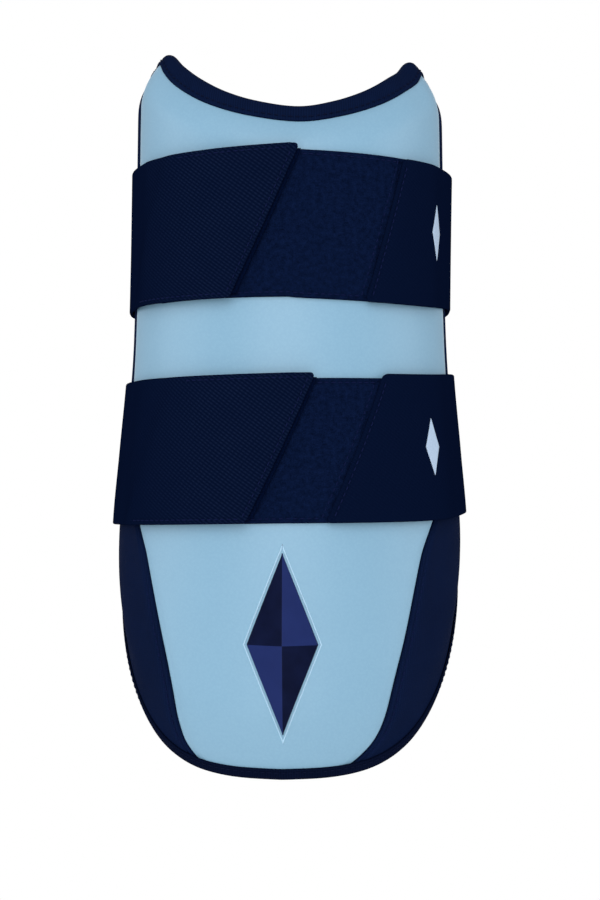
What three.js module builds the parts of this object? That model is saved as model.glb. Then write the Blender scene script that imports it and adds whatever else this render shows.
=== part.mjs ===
// Elbow guard for a batter: a padded half sleeve with a moulded front panel, bound edges and two
// elastic straps that close over the front on loop pads.
// Millimetres, +Z up along the arm, -Y out of the front of the guard, +X to its right seen from the front.
// The origin lies on the axis of the arm, level with the middle of the lower strap.

import * as THREE from "three";

const DEGREE = Math.PI / 180;

// Driving sizes
const STRAP_WIDTH = 50.8; // two inch elastic webbing
const STRAP_THICKNESS = 1.4;
const LOOP_WIDTH = 50;
const LOOP_THICKNESS = 1.4;
const PANEL_THICKNESS = 1.8;
const PAD_THICKNESS = 6;
const PAD_EDGE_THICKNESS = 1.8; // the foam is pressed flat where the binding holds it
const PAD_TAPER = 13; // how far in from its edge the foam reaches its full thickness
const TAPE_THICKNESS = 1;
const SEAT_GAP = 0.3; // left between layers that are sewn together
const STRAP_GAP = 0.5; // left under straps and loop pads, whose facets do not match those they lie on
const TAPE_GAP = { outer: 0.45, inner: 0.6 }; // left under the legs of a binding, for the same reason
const TAPE_SLACK = 0.8; // left between the edge of the wall and the fold of the binding
const SEAM_GAP = 0.5; // left between neighbouring panels

// Outer surface of the guard: half-ellipses in front of the arm's axis and behind it, from the lower end up.
const SECTIONS = [
  { z: -118, halfWidth: 54.5, frontDepth: 48.5, backDepth: 46 },
  { z: -90, halfWidth: 60.4, frontDepth: 53.5, backDepth: 47 },
  { z: -60, halfWidth: 62.7, frontDepth: 55.5, backDepth: 48 },
  { z: -28, halfWidth: 62.5, frontDepth: 56, backDepth: 49 },
  { z: 0, halfWidth: 60, frontDepth: 54, backDepth: 49 },
  { z: 30, halfWidth: 57.2, frontDepth: 52, backDepth: 48 },
  { z: 60, halfWidth: 56.1, frontDepth: 51, backDepth: 47 },
  { z: 110, halfWidth: 55.3, frontDepth: 50.2, backDepth: 46 },
  { z: 150, halfWidth: 54.8, frontDepth: 49.5, backDepth: 45 },
];

// Outline of the guard, laid out by angle round the arm from the front and by height.
const REAR_ANGLE = 110; // where the side panels end behind the arm's axis
const REAR_CORNER = { width: 36, height: 17 }; // quarter ellipse at the top of the rear edges
const ARC_RADIUS = 56; // mean radius that turns an angle into a length along the surface

// The upper rim is scooped in front and climbs to an ear at each side.
const UPPER_RIM = [
  { angle: -110, z: 134 },
  { angle: -92, z: 140.6 },
  { angle: -75, z: 140.2 },
  { angle: -60, z: 136.2 },
  { angle: -45, z: 129.1 },
  { angle: -30, z: 123.4 },
  { angle: -14, z: 119.3 },
  { angle: 4, z: 117.3 },
  { angle: 20, z: 119.6 },
  { angle: 36, z: 124.1 },
  { angle: 52, z: 130.2 },
  { angle: 66, z: 136.2 },
  { angle: 80, z: 136.6 },
  { angle: 94, z: 136 },
  { angle: 110, z: 130 },
];

// The lower rim is the same to both sides of its lowest point, which lies a little left of the front.
const LOWER_RIM_TURN = -3;
const LOWER_RIM = [
  { angle: 0, z: -111.9 },
  { angle: 22, z: -110.9 },
  { angle: 38, z: -108.1 },
  { angle: 52, z: -101.2 },
  { angle: 64, z: -90.1 },
  { angle: 77, z: -73.2 },
  { angle: 92, z: -48 },
  { angle: 113, z: -20 },
];

// Both rims curl in towards the arm.
const UPPER_CURL = { inset: 8.5, height: 17 };
const LOWER_CURL = { inset: 4, height: 30 };

// Seams between the front panel and the side panels, in degrees to the left and right of the front.
const SEAM_LEFT = [
  { z: -112, angle: 29.5 },
  { z: -108.5, angle: 35.8 },
  { z: -101.5, angle: 41 },
  { z: -94.5, angle: 42 },
  { z: -82, angle: 42.5 },
  { z: -67, angle: 45.4 },
  { z: -37, angle: 53.5 },
  { z: -26, angle: 58.6 },
  { z: 0, angle: 71 },
  { z: 22, angle: 78.5 },
  { z: 112, angle: 78.5 },
  { z: 124, angle: 82 },
  { z: 133, angle: 90 },
  { z: 142, angle: 96 },
];
const SEAM_RIGHT = [
  { z: -112, angle: 17 },
  { z: -108.5, angle: 23.5 },
  { z: -101.5, angle: 30.7 },
  { z: -94.5, angle: 33.7 },
  { z: -80, angle: 36.2 },
  { z: -67, angle: 39.5 },
  { z: -37, angle: 47.2 },
  { z: -26, angle: 53 },
  { z: 0, angle: 70 },
  { z: 22, angle: 78.5 },
  { z: 112, angle: 78.5 },
  { z: 124, angle: 82 },
  { z: 133, angle: 90 },
  { z: 142, angle: 96 },
];

// Each strap runs from its sewn end on the right, round the back of the arm, to its free end on the left.
// Both ends are cut on a slant, so they have one angle at their upper corner and one at their lower corner.
// A strap lies lower at the sides than in front by its droop and higher on the right by its tilt. On the
// right it sinks by its sink, climbs again at the far side by its hitch, draws in its lower edge by its tuck,
// and its upper edge stands off by its flare. At its free end it widens upward by its rise. Its loop pad lies
// higher than its middle by loopRise.
const STRAPS = [
  {
    name: "upper", z: 77.2, sewnTop: 42.7, sewnBottom: 26.1, freeTop: 3.2, freeBottom: -20,
    droop: 2.8, tilt: 0, sink: 1.4, hitch: 0, tuck: 2.6, flare: 1.5, rise: 1.9, loopRise: 0.3,
  },
  {
    name: "lower", z: 0.6, sewnTop: 32.4, sewnBottom: 10.7, freeTop: 8.1, freeBottom: -13.2,
    droop: 1.1, tilt: 1.4, sink: 0.3, hitch: 1.1, tuck: 0.8, flare: 0.3, rise: 0.3, loopRise: -1,
  },
];
const RISE_SPAN = { from: 295, over: 68 }; // degrees along a strap in which its free end widens
const LOOP_LEFT = -52; // end of the loop pad under the free end
const LOOP_UNDERLAP = 12; // degrees of loop pad under the sewn end

// Space under a strap by angle from the front: over the loop pad, down on the side panel, over the rear
// binding, then drawn in to the back of the arm.
const OVER_LOOP = STRAP_GAP + LOOP_THICKNESS + STRAP_GAP;
const STAND_OFF = [
  { angle: 0, space: OVER_LOOP },
  { angle: 60, space: OVER_LOOP },
  { angle: 74, space: 0.45 },
  { angle: 92, space: 0.45 },
  { angle: 104, space: 2.1 },
  { angle: 113, space: 2.1 },
  { angle: 130, space: -0.8 },
  { angle: 155, space: -4.6 },
  { angle: 180, space: -5.5 },
];

// A plain faceted badge on the front panel.
const BADGE = { z: -66, angle: -2.4, width: 22, height: 62, edge: 0.9, ridge: 3, tip: 0.04 };

// Value of one column of a table at a key, on a smooth curve through its rows.
function read(rows, key, column, at) {
  const last = rows.length - 1;
  let i = 0;
  while (i < last - 1 && at > rows[i + 1][key]) i += 1;
  const slope = (k) => {
    const before = rows[Math.max(k - 1, 0)];
    const after = rows[Math.min(k + 1, last)];
    return (after[column] - before[column]) / (after[key] - before[key]);
  };
  const span = rows[i + 1][key] - rows[i][key];
  const t = THREE.MathUtils.clamp((at - rows[i][key]) / span, 0, 1);
  const start = rows[i][column] * (1 + 2 * t) * (1 - t) ** 2 + slope(i) * span * t * (1 - t) ** 2;
  const end = rows[i + 1][column] * t * t * (3 - 2 * t) - slope(i + 1) * span * t * t * (1 - t);
  return start + end;
}

// Height of the upper rim at an angle, before its rear corners are rounded off.
const earHeight = (angle) => read(UPPER_RIM, "angle", "z", angle);

// Height of the upper rim at an angle.
function upperRim(angle) {
  const fromEdge = Math.max((REAR_ANGLE - Math.abs(angle)) * DEGREE * ARC_RADIUS, 0);
  const over = Math.max(1 - fromEdge / REAR_CORNER.width, 0);
  return earHeight(angle) - REAR_CORNER.height * (1 - Math.sqrt(1 - over ** 2));
}

// Height of the lower rim at an angle.
const lowerRim = (angle) => read(LOWER_RIM, "angle", "z", Math.abs(angle - LOWER_RIM_TURN));

// How far a curl draws the surface in, at a distance below or above the rim it belongs to.
function curlInset(curl, fromRim) {
  return curl.inset * Math.max(1 - fromRim / curl.height, 0) ** 2;
}

// Point of the outer surface, with its rims curled in or as a straight sleeve.
function surfacePoint(angle, z, curled) {
  const above = curled ? curlInset(UPPER_CURL, earHeight(angle) - z) : 0;
  const below = curled ? curlInset(LOWER_CURL, z - lowerRim(angle)) : 0;
  const inset = above + below;
  const cosine = Math.cos(angle * DEGREE);
  const depth = read(SECTIONS, "z", cosine > 0 ? "frontDepth" : "backDepth", z);
  const x = (read(SECTIONS, "z", "halfWidth", z) - inset) * Math.sin(angle * DEGREE);
  return new THREE.Vector3(x, -(depth - inset) * cosine, z);
}

// Point at a depth under the outer surface, along its normal. A negative depth lies outside.
function wallPoint(angle, z, depth, curled = true) {
  const step = 0.05;
  const alongArm = surfacePoint(angle, z + step, curled).sub(surfacePoint(angle, z - step, curled));
  const round = surfacePoint(angle + step, z, curled).sub(surfacePoint(angle - step, z, curled));
  const inward = alongArm.cross(round).normalize();
  return surfacePoint(angle, z, curled).addScaledVector(inward, depth);
}

// Depth of the inner face of the foam, which thins towards its edges.
const PAD_OUTSIDE = PANEL_THICKNESS + SEAT_GAP;
function padInside(angle, z) {
  const fromRear = (REAR_ANGLE - Math.abs(angle)) * DEGREE * ARC_RADIUS;
  const fromEdge = Math.min(upperRim(angle) - z, z - lowerRim(angle), fromRear);
  const grown = THREE.MathUtils.clamp(fromEdge / PAD_TAPER, 0, 1);
  return PAD_OUTSIDE + THREE.MathUtils.lerp(PAD_EDGE_THICKNESS, PAD_THICKNESS, grown);
}

// Closed wall between an outer and an inner sheet. pointAt takes the column and the row, from 0 to 1, and
// the face: 0 outside and 1 inside.
function wallGeometry(columns, rows, pointAt) {
  const positions = [];
  const sheet = (columns + 1) * (rows + 1);
  for (const face of [0, 1]) {
    for (let j = 0; j <= rows; j += 1) {
      for (let i = 0; i <= columns; i += 1) positions.push(...pointAt(i / columns, j / rows, face));
    }
  }
  const at = (i, j, face) => face * sheet + j * (columns + 1) + i;
  const triangles = [];
  const quad = (a, b, c, d) => triangles.push(a, b, d, b, c, d);
  for (let j = 0; j < rows; j += 1) {
    for (let i = 0; i < columns; i += 1) {
      quad(at(i, j, 0), at(i + 1, j, 0), at(i + 1, j + 1, 0), at(i, j + 1, 0));
      quad(at(i, j, 1), at(i, j + 1, 1), at(i + 1, j + 1, 1), at(i + 1, j, 1));
    }
    quad(at(0, j, 0), at(0, j + 1, 0), at(0, j + 1, 1), at(0, j, 1));
    quad(at(columns, j, 0), at(columns, j, 1), at(columns, j + 1, 1), at(columns, j + 1, 0));
  }
  for (let i = 0; i < columns; i += 1) {
    quad(at(i, 0, 0), at(i, 0, 1), at(i + 1, 0, 1), at(i + 1, 0, 0));
    quad(at(i, rows, 0), at(i + 1, rows, 0), at(i + 1, rows, 1), at(i, rows, 1));
  }
  return meshGeometry(positions, triangles);
}

function meshGeometry(positions, triangles) {
  const geometry = new THREE.BufferGeometry();
  geometry.setAttribute("position", new THREE.Float32BufferAttribute(positions, 3));
  geometry.setIndex(triangles);
  geometry.computeVertexNormals();
  return geometry;
}

// Spacing from 0 to 1 that closes up towards both ends, where the rims curl and the corners turn.
const closeAtEnds = (share) => 0.5 - 0.5 * Math.cos(Math.PI * share);

// Angles of the columns of each panel at a height. The seams leave a gap between neighbours, and the columns
// of the side panels close up towards the rounded rear corners.
const seamLeft = (z) => -read(SEAM_LEFT, "z", "angle", z);
const seamRight = (z) => read(SEAM_RIGHT, "z", "angle", z);
const seamStep = SEAM_GAP / ARC_RADIUS / DEGREE;
const closeAtRear = (share) => share + (0.6 * Math.sin(Math.PI * share)) / Math.PI;
const frontAngle = (share, z) => THREE.MathUtils.lerp(seamLeft(z), seamRight(z), share);
const leftAngle = (share, z) => {
  return THREE.MathUtils.lerp(seamLeft(z) - seamStep, -REAR_ANGLE, closeAtRear(1 - share));
};
const rightAngle = (share, z) => {
  return THREE.MathUtils.lerp(seamRight(z) + seamStep, REAR_ANGLE, closeAtRear(share));
};

// The foam has the columns of all three panels, so that it lies evenly under them.
const BODY_ROWS = 18;
const FRONT_COLUMNS = 20;
const SIDE_COLUMNS = 10;
const PAD_COLUMNS = FRONT_COLUMNS + 2 * SIDE_COLUMNS;
function padAngle(share, z) {
  const column = share * PAD_COLUMNS;
  if (column <= SIDE_COLUMNS) return leftAngle(column / SIDE_COLUMNS, z);
  if (column < SIDE_COLUMNS + FRONT_COLUMNS) return frontAngle((column - SIDE_COLUMNS) / FRONT_COLUMNS, z);
  return rightAngle((column - SIDE_COLUMNS - FRONT_COLUMNS) / SIDE_COLUMNS, z);
}

// Wall that runs from the lower rim to the upper one. The rims depend on the angle and the seams on the
// height, so each point settles on both in a few rounds.
function bodyWall(columns, angleAt, outside, inside) {
  return wallGeometry(columns, BODY_ROWS, (column, row, face) => {
    let angle = 0;
    let z = 0;
    for (let settle = 0; settle < 8; settle += 1) {
      z = THREE.MathUtils.lerp(lowerRim(angle), upperRim(angle), closeAtEnds(row));
      angle = angleAt(column, z);
    }
    return wallPoint(angle, z, face === 0 ? outside : inside(angle, z));
  });
}

const paddedBody = () => bodyWall(PAD_COLUMNS, padAngle, PAD_OUTSIDE, padInside);
const panel = (columns, angleAt) => bodyWall(columns, angleAt, 0, () => PANEL_THICKNESS);

// Stations round a folded tape, from the end of its outer leg over the edge of the wall to the end of its
// inner leg. A station has its distance in from the edge and the face of the wall that it lies by.
function foldStations(outerLeg, innerLeg) {
  return [
    { reach: outerLeg, inner: false },
    { reach: outerLeg / 2, inner: false },
    { reach: 0, inner: false },
    { nose: true, inner: false },
    { nose: true, inner: true },
    { reach: 0, inner: true },
    { reach: innerLeg / 2, inner: true },
    { reach: innerLeg, inner: true },
  ];
}

// Tape folded over the edge of the wall. The outline gives points by angle and height, with the wall on the
// right hand of its run.
function bindingGeometry(outline, stations) {
  const flat = outline.map(({ angle, z }) => new THREE.Vector2(angle * DEGREE * ARC_RADIUS, z));
  const steps = flat.slice(1).map((point, k) => point.clone().sub(flat[k]).normalize());
  return wallGeometry(steps.length, stations.length - 1, (column, row, face) => {
    const k = Math.round(column * steps.length);
    const run = steps[Math.max(k - 1, 0)].clone().add(steps[Math.min(k, steps.length - 1)]).normalize();
    const { reach, nose, inner } = stations[Math.round(row * (stations.length - 1))];
    const thickness = face === 0 ? TAPE_THICKNESS : 0;
    const inward = nose ? -TAPE_SLACK - thickness : reach;
    const clear = (inner ? TAPE_GAP.inner : TAPE_GAP.outer) + (nose ? 0 : thickness);
    const place = flat[k].clone().addScaledVector(new THREE.Vector2(run.y, -run.x), inward);
    const angle = place.x / ARC_RADIUS / DEGREE;
    return wallPoint(angle, place.y, inner ? padInside(angle, place.y) + clear : -clear);
  });
}

// The upper rim, from the left rear corner to the right one, with its steps closing up at the corners.
function neckBinding(steps = 34) {
  const outline = [];
  for (let k = 0; k <= steps; k += 1) {
    const angle = -REAR_ANGLE * Math.cos((Math.PI * k) / steps);
    outline.push({ angle, z: upperRim(angle) });
  }
  return bindingGeometry(outline, foldStations(3.6, 3.2));
}

// Down the right rear edge, along the lower rim and up the left rear edge. The rear steps close up towards
// the lower rim, where the surface curls.
function edgeBinding(steps = 30, rearSteps = 8) {
  const outline = [];
  const rear = (side, k) => {
    const angle = side * REAR_ANGLE;
    const top = upperRim(angle) - SEAM_GAP;
    return { angle, z: THREE.MathUtils.lerp(lowerRim(angle), top, (k / rearSteps) ** 1.7) };
  };
  for (let k = rearSteps; k > 0; k -= 1) outline.push(rear(1, k));
  for (let k = 0; k <= steps; k += 1) {
    const angle = THREE.MathUtils.lerp(REAR_ANGLE, -REAR_ANGLE, k / steps);
    outline.push({ angle, z: lowerRim(angle) });
  }
  for (let k = 1; k <= rearSteps; k += 1) outline.push(rear(-1, k));
  return bindingGeometry(outline, foldStations(2.8, 3.2));
}

// How far a strap's point lies above its place in the straight band. Its share runs from 0 at the lower edge
// of the strap to 1 at the upper one.
function strapLie(strap, angle, share) {
  const right = Math.max(Math.sin(angle * DEGREE), 0);
  const lie = strap.tilt * Math.sin(angle * DEGREE) - strap.droop * (1 - Math.cos(angle * DEGREE));
  const tuck = strap.hitch + strap.tuck * Math.max(1 - 2 * share, 0);
  const widened = THREE.MathUtils.clamp((angle - RISE_SPAN.from) / RISE_SPAN.over, 0, 1) ** 2;
  const rise = strap.rise * widened * Math.max(2 * share - 1, 0);
  return lie - strap.sink * Math.sqrt(right) + tuck * right ** 8 + rise;
}

// Band round the sleeve at a strap's height, between two slanted ends. Angles run on past 180 degrees behind
// the arm, and heights are measured from the middle of the strap.
function bandGeometry(strap, width, middle, columns, rows, ends, space, thickness) {
  return wallGeometry(columns, rows, (column, row, face) => {
    const angle = THREE.MathUtils.lerp(ends.start(row), ends.end(row), column);
    const level = middle + (row - 0.5) * width;
    const share = level / STRAP_WIDTH + 0.5;
    const height = level + strapLie(strap, angle, share);
    const flare = strap.flare * share * Math.max(Math.sin(angle * DEGREE), 0) ** 4;
    const depth = -(space(angle) + flare + (face === 0 ? thickness : 0));
    return wallPoint(angle, strap.z + height, depth, false).setZ(height);
  });
}

const sewnEnd = (strap) => (row) => THREE.MathUtils.lerp(strap.sewnBottom, strap.sewnTop, row);
const freeEnd = (strap) => (row) => THREE.MathUtils.lerp(strap.freeBottom, strap.freeTop, row) + 360;

function standOff(angle) {
  const fromFront = Math.abs(THREE.MathUtils.euclideanModulo(angle + 180, 360) - 180);
  return read(STAND_OFF, "angle", "space", fromFront);
}

function strapBand(strap) {
  const ends = { start: sewnEnd(strap), end: freeEnd(strap) };
  return bandGeometry(strap, STRAP_WIDTH, 0, 50, 4, ends, standOff, STRAP_THICKNESS);
}

function loopPad(strap) {
  const ends = { start: () => LOOP_LEFT, end: (row) => sewnEnd(strap)(row) + LOOP_UNDERLAP };
  return bandGeometry(strap, LOOP_WIDTH, strap.loopRise, 14, 4, ends, () => STRAP_GAP, LOOP_THICKNESS);
}

// Four-sided pyramid of low height, bent to the panel it lies on. Heights are measured from its middle.
function badgeGeometry() {
  return wallGeometry(6, 10, (column, row, face) => {
    const u = 2 * column - 1;
    const v = 2 * row - 1;
    const halfWidth = (BADGE.width / 2) * Math.max(1 - Math.abs(v), BADGE.tip);
    const angle = BADGE.angle + (u * halfWidth) / ARC_RADIUS / DEGREE;
    const height = (v * BADGE.height) / 2;
    const top = BADGE.edge + BADGE.ridge * (1 - Math.abs(u)) * (1 - Math.abs(v));
    return wallPoint(angle, BADGE.z + height, -(SEAT_GAP + (face === 0 ? top : 0))).setZ(height);
  });
}

// Materials
const paint = (color, roughness) => new THREE.MeshStandardMaterial({ color, roughness, metalness: 0 });
const skyPanel = paint("#92b9d2", 0.5);
const navyPanel = paint("#0d1b38", 0.6);
const navyFoam = paint("#0b1730", 0.85);
const navyTape = paint("#0d1a3b", 0.8);
const navyElastic = paint("#08132d", 0.85);
const navyLoop = paint("#0a1632", 0.95);
const navyGloss = paint("#1c2a55", 0.3);

function piece(name, geometry, material, z = 0) {
  const mesh = new THREE.Mesh(geometry, material);
  mesh.name = name;
  mesh.position.z = z;
  return mesh;
}

const body = new THREE.Group().add(
  piece("padded_body", paddedBody(), navyFoam),
  piece("front_panel", panel(FRONT_COLUMNS, frontAngle), skyPanel),
  piece("side_panel_left", panel(SIDE_COLUMNS, leftAngle), navyPanel),
  piece("side_panel_right", panel(SIDE_COLUMNS, rightAngle), navyPanel),
  piece("neck_binding", neckBinding(), navyTape),
  piece("edge_binding", edgeBinding(), navyTape),
  piece("front_badge", badgeGeometry(), navyGloss, BADGE.z),
);

const straps = STRAPS.map((strap) => {
  const group = new THREE.Group();
  group.position.z = strap.z;
  group.add(piece(`${strap.name}_loop_pad`, loopPad(strap), navyLoop));
  group.add(piece(`${strap.name}_strap`, strapBand(strap), navyElastic));
  return group;
});

const guard = new THREE.Group().add(body, ...straps);
guard.name = "elbow_guard";

export default guard;
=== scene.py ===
"""Elbow guard for a batter: a padded half sleeve with a light blue front cover, navy side covers, bound
edges and two elastic straps that close over the front on loop pads. Lengths are millimetres up to the meshes,
which are in metres. Angles are degrees round the arm from the front, positive to the right."""

import math
from types import SimpleNamespace

import bmesh
import bpy
import numpy as np
from bpy.props import FloatProperty, PointerProperty, StringProperty
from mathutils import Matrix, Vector


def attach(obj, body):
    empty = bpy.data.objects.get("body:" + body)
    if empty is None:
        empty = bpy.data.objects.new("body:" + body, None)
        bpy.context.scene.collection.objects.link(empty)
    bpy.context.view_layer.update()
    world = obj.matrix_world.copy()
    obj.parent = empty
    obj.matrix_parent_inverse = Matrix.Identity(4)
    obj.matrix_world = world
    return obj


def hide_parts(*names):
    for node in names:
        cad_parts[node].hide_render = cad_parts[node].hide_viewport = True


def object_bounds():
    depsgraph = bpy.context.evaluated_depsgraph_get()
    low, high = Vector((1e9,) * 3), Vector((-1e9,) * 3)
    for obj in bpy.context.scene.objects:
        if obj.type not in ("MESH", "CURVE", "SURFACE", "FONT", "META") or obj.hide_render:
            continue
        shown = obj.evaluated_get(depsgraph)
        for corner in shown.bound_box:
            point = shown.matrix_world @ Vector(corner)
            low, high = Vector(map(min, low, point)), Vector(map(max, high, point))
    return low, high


bl_info = {
    "name": "Elbow Guard",
    "version": (1, 0, 0),
    "blender": (4, 5, 0),
    "location": "View3D > Sidebar > Guard",
    "description": "Builds a padded elbow guard with sewn covers, bound edges and two elastic straps",
    "category": "Object",
}

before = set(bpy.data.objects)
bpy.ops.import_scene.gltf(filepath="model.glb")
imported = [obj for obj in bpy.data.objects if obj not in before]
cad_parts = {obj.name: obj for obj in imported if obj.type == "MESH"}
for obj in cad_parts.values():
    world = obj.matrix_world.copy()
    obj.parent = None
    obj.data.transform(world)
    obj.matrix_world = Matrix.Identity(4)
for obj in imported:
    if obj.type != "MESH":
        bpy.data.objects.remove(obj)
CAD_LOW, CAD_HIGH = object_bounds()

MM = 0.001
REAR_ANGLE = 110  # where the sleeve ends behind the arm, to either side
REAR_CORNER = {"width": 36, "height": 17}  # rounding of the upper rim at the rear edges
ARC_RADIUS = 56
ARC = math.radians(ARC_RADIUS)  # length along the surface of one degree

# Outer surface of the guard by height: half-ellipses in front of the arm's axis and behind it.
HALF_WIDTH = (
    (-118, 54.5), (-90, 60.4), (-60, 62.7), (-28, 62.5), (0, 60), (30, 57.2), (60, 56.1), (110, 55.3),
    (150, 54.8),
)
FRONT_DEPTH = (
    (-118, 48.5), (-90, 53.5), (-60, 55.5), (-28, 56), (0, 54), (30, 52), (60, 51), (110, 50.2), (150, 49.5),
)
BACK_DEPTH = (
    (-118, 46), (-90, 47), (-60, 48), (-28, 49), (0, 49), (30, 48), (60, 47), (110, 46), (150, 45),
)

# Heights of the rims by angle. The lower rim is the same to both sides of its lowest point.
UPPER_RIM = (
    (-110, 131), (-92, 138.6), (-81, 138.2), (-71, 139.9), (-61, 135.9), (-45, 129.1), (-30, 123.4),
    (-14, 119.3), (4, 117.3), (20, 119.6), (36, 124.1), (52, 130.2), (60, 132.9), (69, 137.1), (79, 134.6),
    (92, 134.6), (110, 128),
)
LOWER_RIM = (
    (0, -111.9), (22, -110.9), (38, -107.9), (52, -101.2), (64, -90.1), (77, -73.2), (92, -48), (113, -20),
)
LOWER_RIM_TURN = -3  # angle of its lowest point

# The rims curl in towards the arm, by an inset at the rim that fades out over a height.
UPPER_CURL = {"inset": 8.5, "height": 17}
LOWER_CURL = {"inset": 4, "height": 30}

# Angles of the seams between the front cover and the side covers by height, to either side of the front.
SEAM_LEFT = (
    (-112, 29.5), (-108.5, 35.8), (-101.5, 41), (-94.5, 42), (-82, 42.5), (-67, 45.4), (-37, 53.5),
    (-26, 58.6), (0, 71), (22, 78.5), (112, 78.5), (127, 79.2), (133.5, 86), (138.5, 95), (143, 100),
)
SEAM_RIGHT = (
    (-112, 17), (-108.5, 23.5), (-101.5, 30.7), (-94.5, 33.7), (-80, 36.2), (-67, 39.5), (-37, 47.2),
    (-26, 53), (0, 70), (22, 78.5), (112, 78.5), (122.5, 79), (129, 85), (135, 94), (142, 99),
)
SEAM_GAP = 0.5 / ARC  # angle from a seam to its side cover
SEAM_ROW = (0.02, 0.98)  # share of the height that the topstitch of a seam covers

# A strap runs from its sewn end on the right, round the back, to its free end on the left. Both ends are
# slanted, from their lower to their upper corner. A strap lies lower at its sides than in front by its droop,
# sinks on the right by its sink, stands off at its upper right by its flare, draws in its lower edge on the
# right by its tuck, climbs there by its hitch, and at its free end lifts its upper edge by its rise and its
# lower edge by its heel. Its loop pad has a height from the middle of the strap and an extra width, and its
# mark an angle and a height.
STRAPS = {
    "upper": {
        "z": 77.2, "sewn": (26.1, 42.7), "free": (-20, 3.2), "droop": 2.8, "tilt": 0, "sink": 1.4,
        "flare": 1.5, "tuck": 2.6, "hitch": 0, "rise": 1.9, "heel": 0, "loop": (0.32, 0.75),
        "mark": (60.5, 1.6),
    },
    "lower": {
        "z": 0.6, "sewn": (10.7, 32.4), "free": (-13.2, 8.1), "droop": 1.1, "tilt": 1.0, "sink": 0.3,
        "flare": 0.3, "tuck": 0.8, "hitch": 1.6, "rise": 0.3, "heel": 0.3, "loop": (-0.75, -0.7),
        "mark": (51.5, 0.2),
    },
}

# Space under a strap by angle to either side of the front.
STAND_OFF = (
    (0, 2.0), (56, 2.0), (68, 0.4), (92, 0.4), (104, 1.7), (113, 1.7), (130, -0.8), (155, -4.6), (180, -5.5),
)
FREE_STRETCH = {"start": 295, "turn": 68}  # where a strap begins to lift to its free end, past the back
CORNER_RADIUS = 1.8  # rounding of a strap's corners

LOOP_LEFT = -52  # angle of a loop pad's left end
LOOP_UNDERLAP = 12  # angle that a loop pad reaches under the sewn end
LOOP_SPACE = 0.15  # space under a loop pad

HOOK_LENGTH = 42  # length of the hook patch under a free end
HOOK_RAMP = {"start": 7, "length": 8}  # how a strap climbs over its hook patch
LIFT_LENGTH = 14  # length over which a free end stands off

SEWN_SINK = 0.4  # how far the seam sinks a strap's sewn end into the loop pad
SEWN_SQUEEZE = 0.35  # share of its thickness that the strap loses there
SEWN_REACH = 6  # how far in from the sewn end the seam presses the strap
EDGE_ROW = 1.6  # from the edge of a strap or a loop pad to its row of stitches
SEWN_ROW = 1.7  # from the sewn end of a strap to the rows on it and beside it

# How far the neck tape reaches down over the covers, by angle to either side of its turn from the front.
NECK_REACH = (
    (0, 4.8), (40, 4.7), (56, 4.2), (64, 3.6), (74, 2.6), (84, 2.1), (94, 2.0), (104, 2.4), (114, 3.0),
)
NECK_TURN = 4
EDGE_REACH = 2.7  # reach of the edge tape over the covers
INNER_REACH = 3.4  # reach of both tapes over the lining
LEG_STEPS = np.array([0, 0.1, 0.3, 0.6, 0.9, 1.2, 1.6, 2, 2.5])  # from the edge of a tape to its fold
LEG_SPAN = 3  # steps that make up the whole reach of the outer leg
TAPE_LAP = 5  # length of the edge tape's ends under the neck tape
TAPE_SPACE = {"out": 0.08, "in": 0.15, "fold": 0.95}  # space under a tape on its two legs and in its fold
TAPE_STEP = 1.1  # distance from one section of a tape to the next

FOAM_OUTSIDE = 2.1  # depth of the foam's outer face, under the covers
FOAM_EDGE = 1.8  # thickness of the foam where the binding presses it flat
FOAM_TAPER = 13  # how far in from its edge the foam reaches its full thickness

# The badge lies on the front cover with a thin edge that rises to a ridge. Its outline lies round it at a
# gap, pressed into the cover, and rises across its width. A mark lies on each strap.
BADGE_PLACE = {"angle": -2.4, "z": -66}
BADGE_RISE = {"space": 0.05, "edge": 0.7, "roll": 0.3, "ridge": 3.2}
OUTLINE = {"gap": 0.6, "width": 0.5, "sunk": 0.1, "space": 0.02}
OUTLINE_RISE = np.array([0, 0.16, 0.2, 0.16, 0])
MARK = {"half_width": 3.6, "half_height": 10, "space": 0.02, "rise": 0.16, "roll": 0.15}

# Lights by name: place and size in metres, the stage's power that drives it and its share of that power.
LIGHTS = (
    ("key_light", (-0.1, -1.6, 0.8), 1.4, "key", 1.0),
    ("left_light", (-1.7, -0.3, 0.2), 1.2, "fill", 1.1),
    ("right_light", (1.7, -0.3, 0.2), 1.2, "fill", 1.0),
    ("low_light", (-0.1, -1.6, -0.3), 1.2, "fill", 1.1),
    ("rear_light", (0, 1.8, 0.6), 1.6, "fill", 1.0),
)
FLOOR_RADIUS = 3  # metres


def number_of(name, description, value, unit="NONE"):
    """Property for a number."""
    return FloatProperty(name=name, description=description, default=value, unit=unit)


def size_of(name, description, millimetres):
    """Property for a length."""
    return number_of(name, description, millimetres * MM, "LENGTH")


def hue_of(name, description, code):
    """Property for a colour, as an sRGB hex value."""
    return StringProperty(name=name, description=description, default=code)


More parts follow.
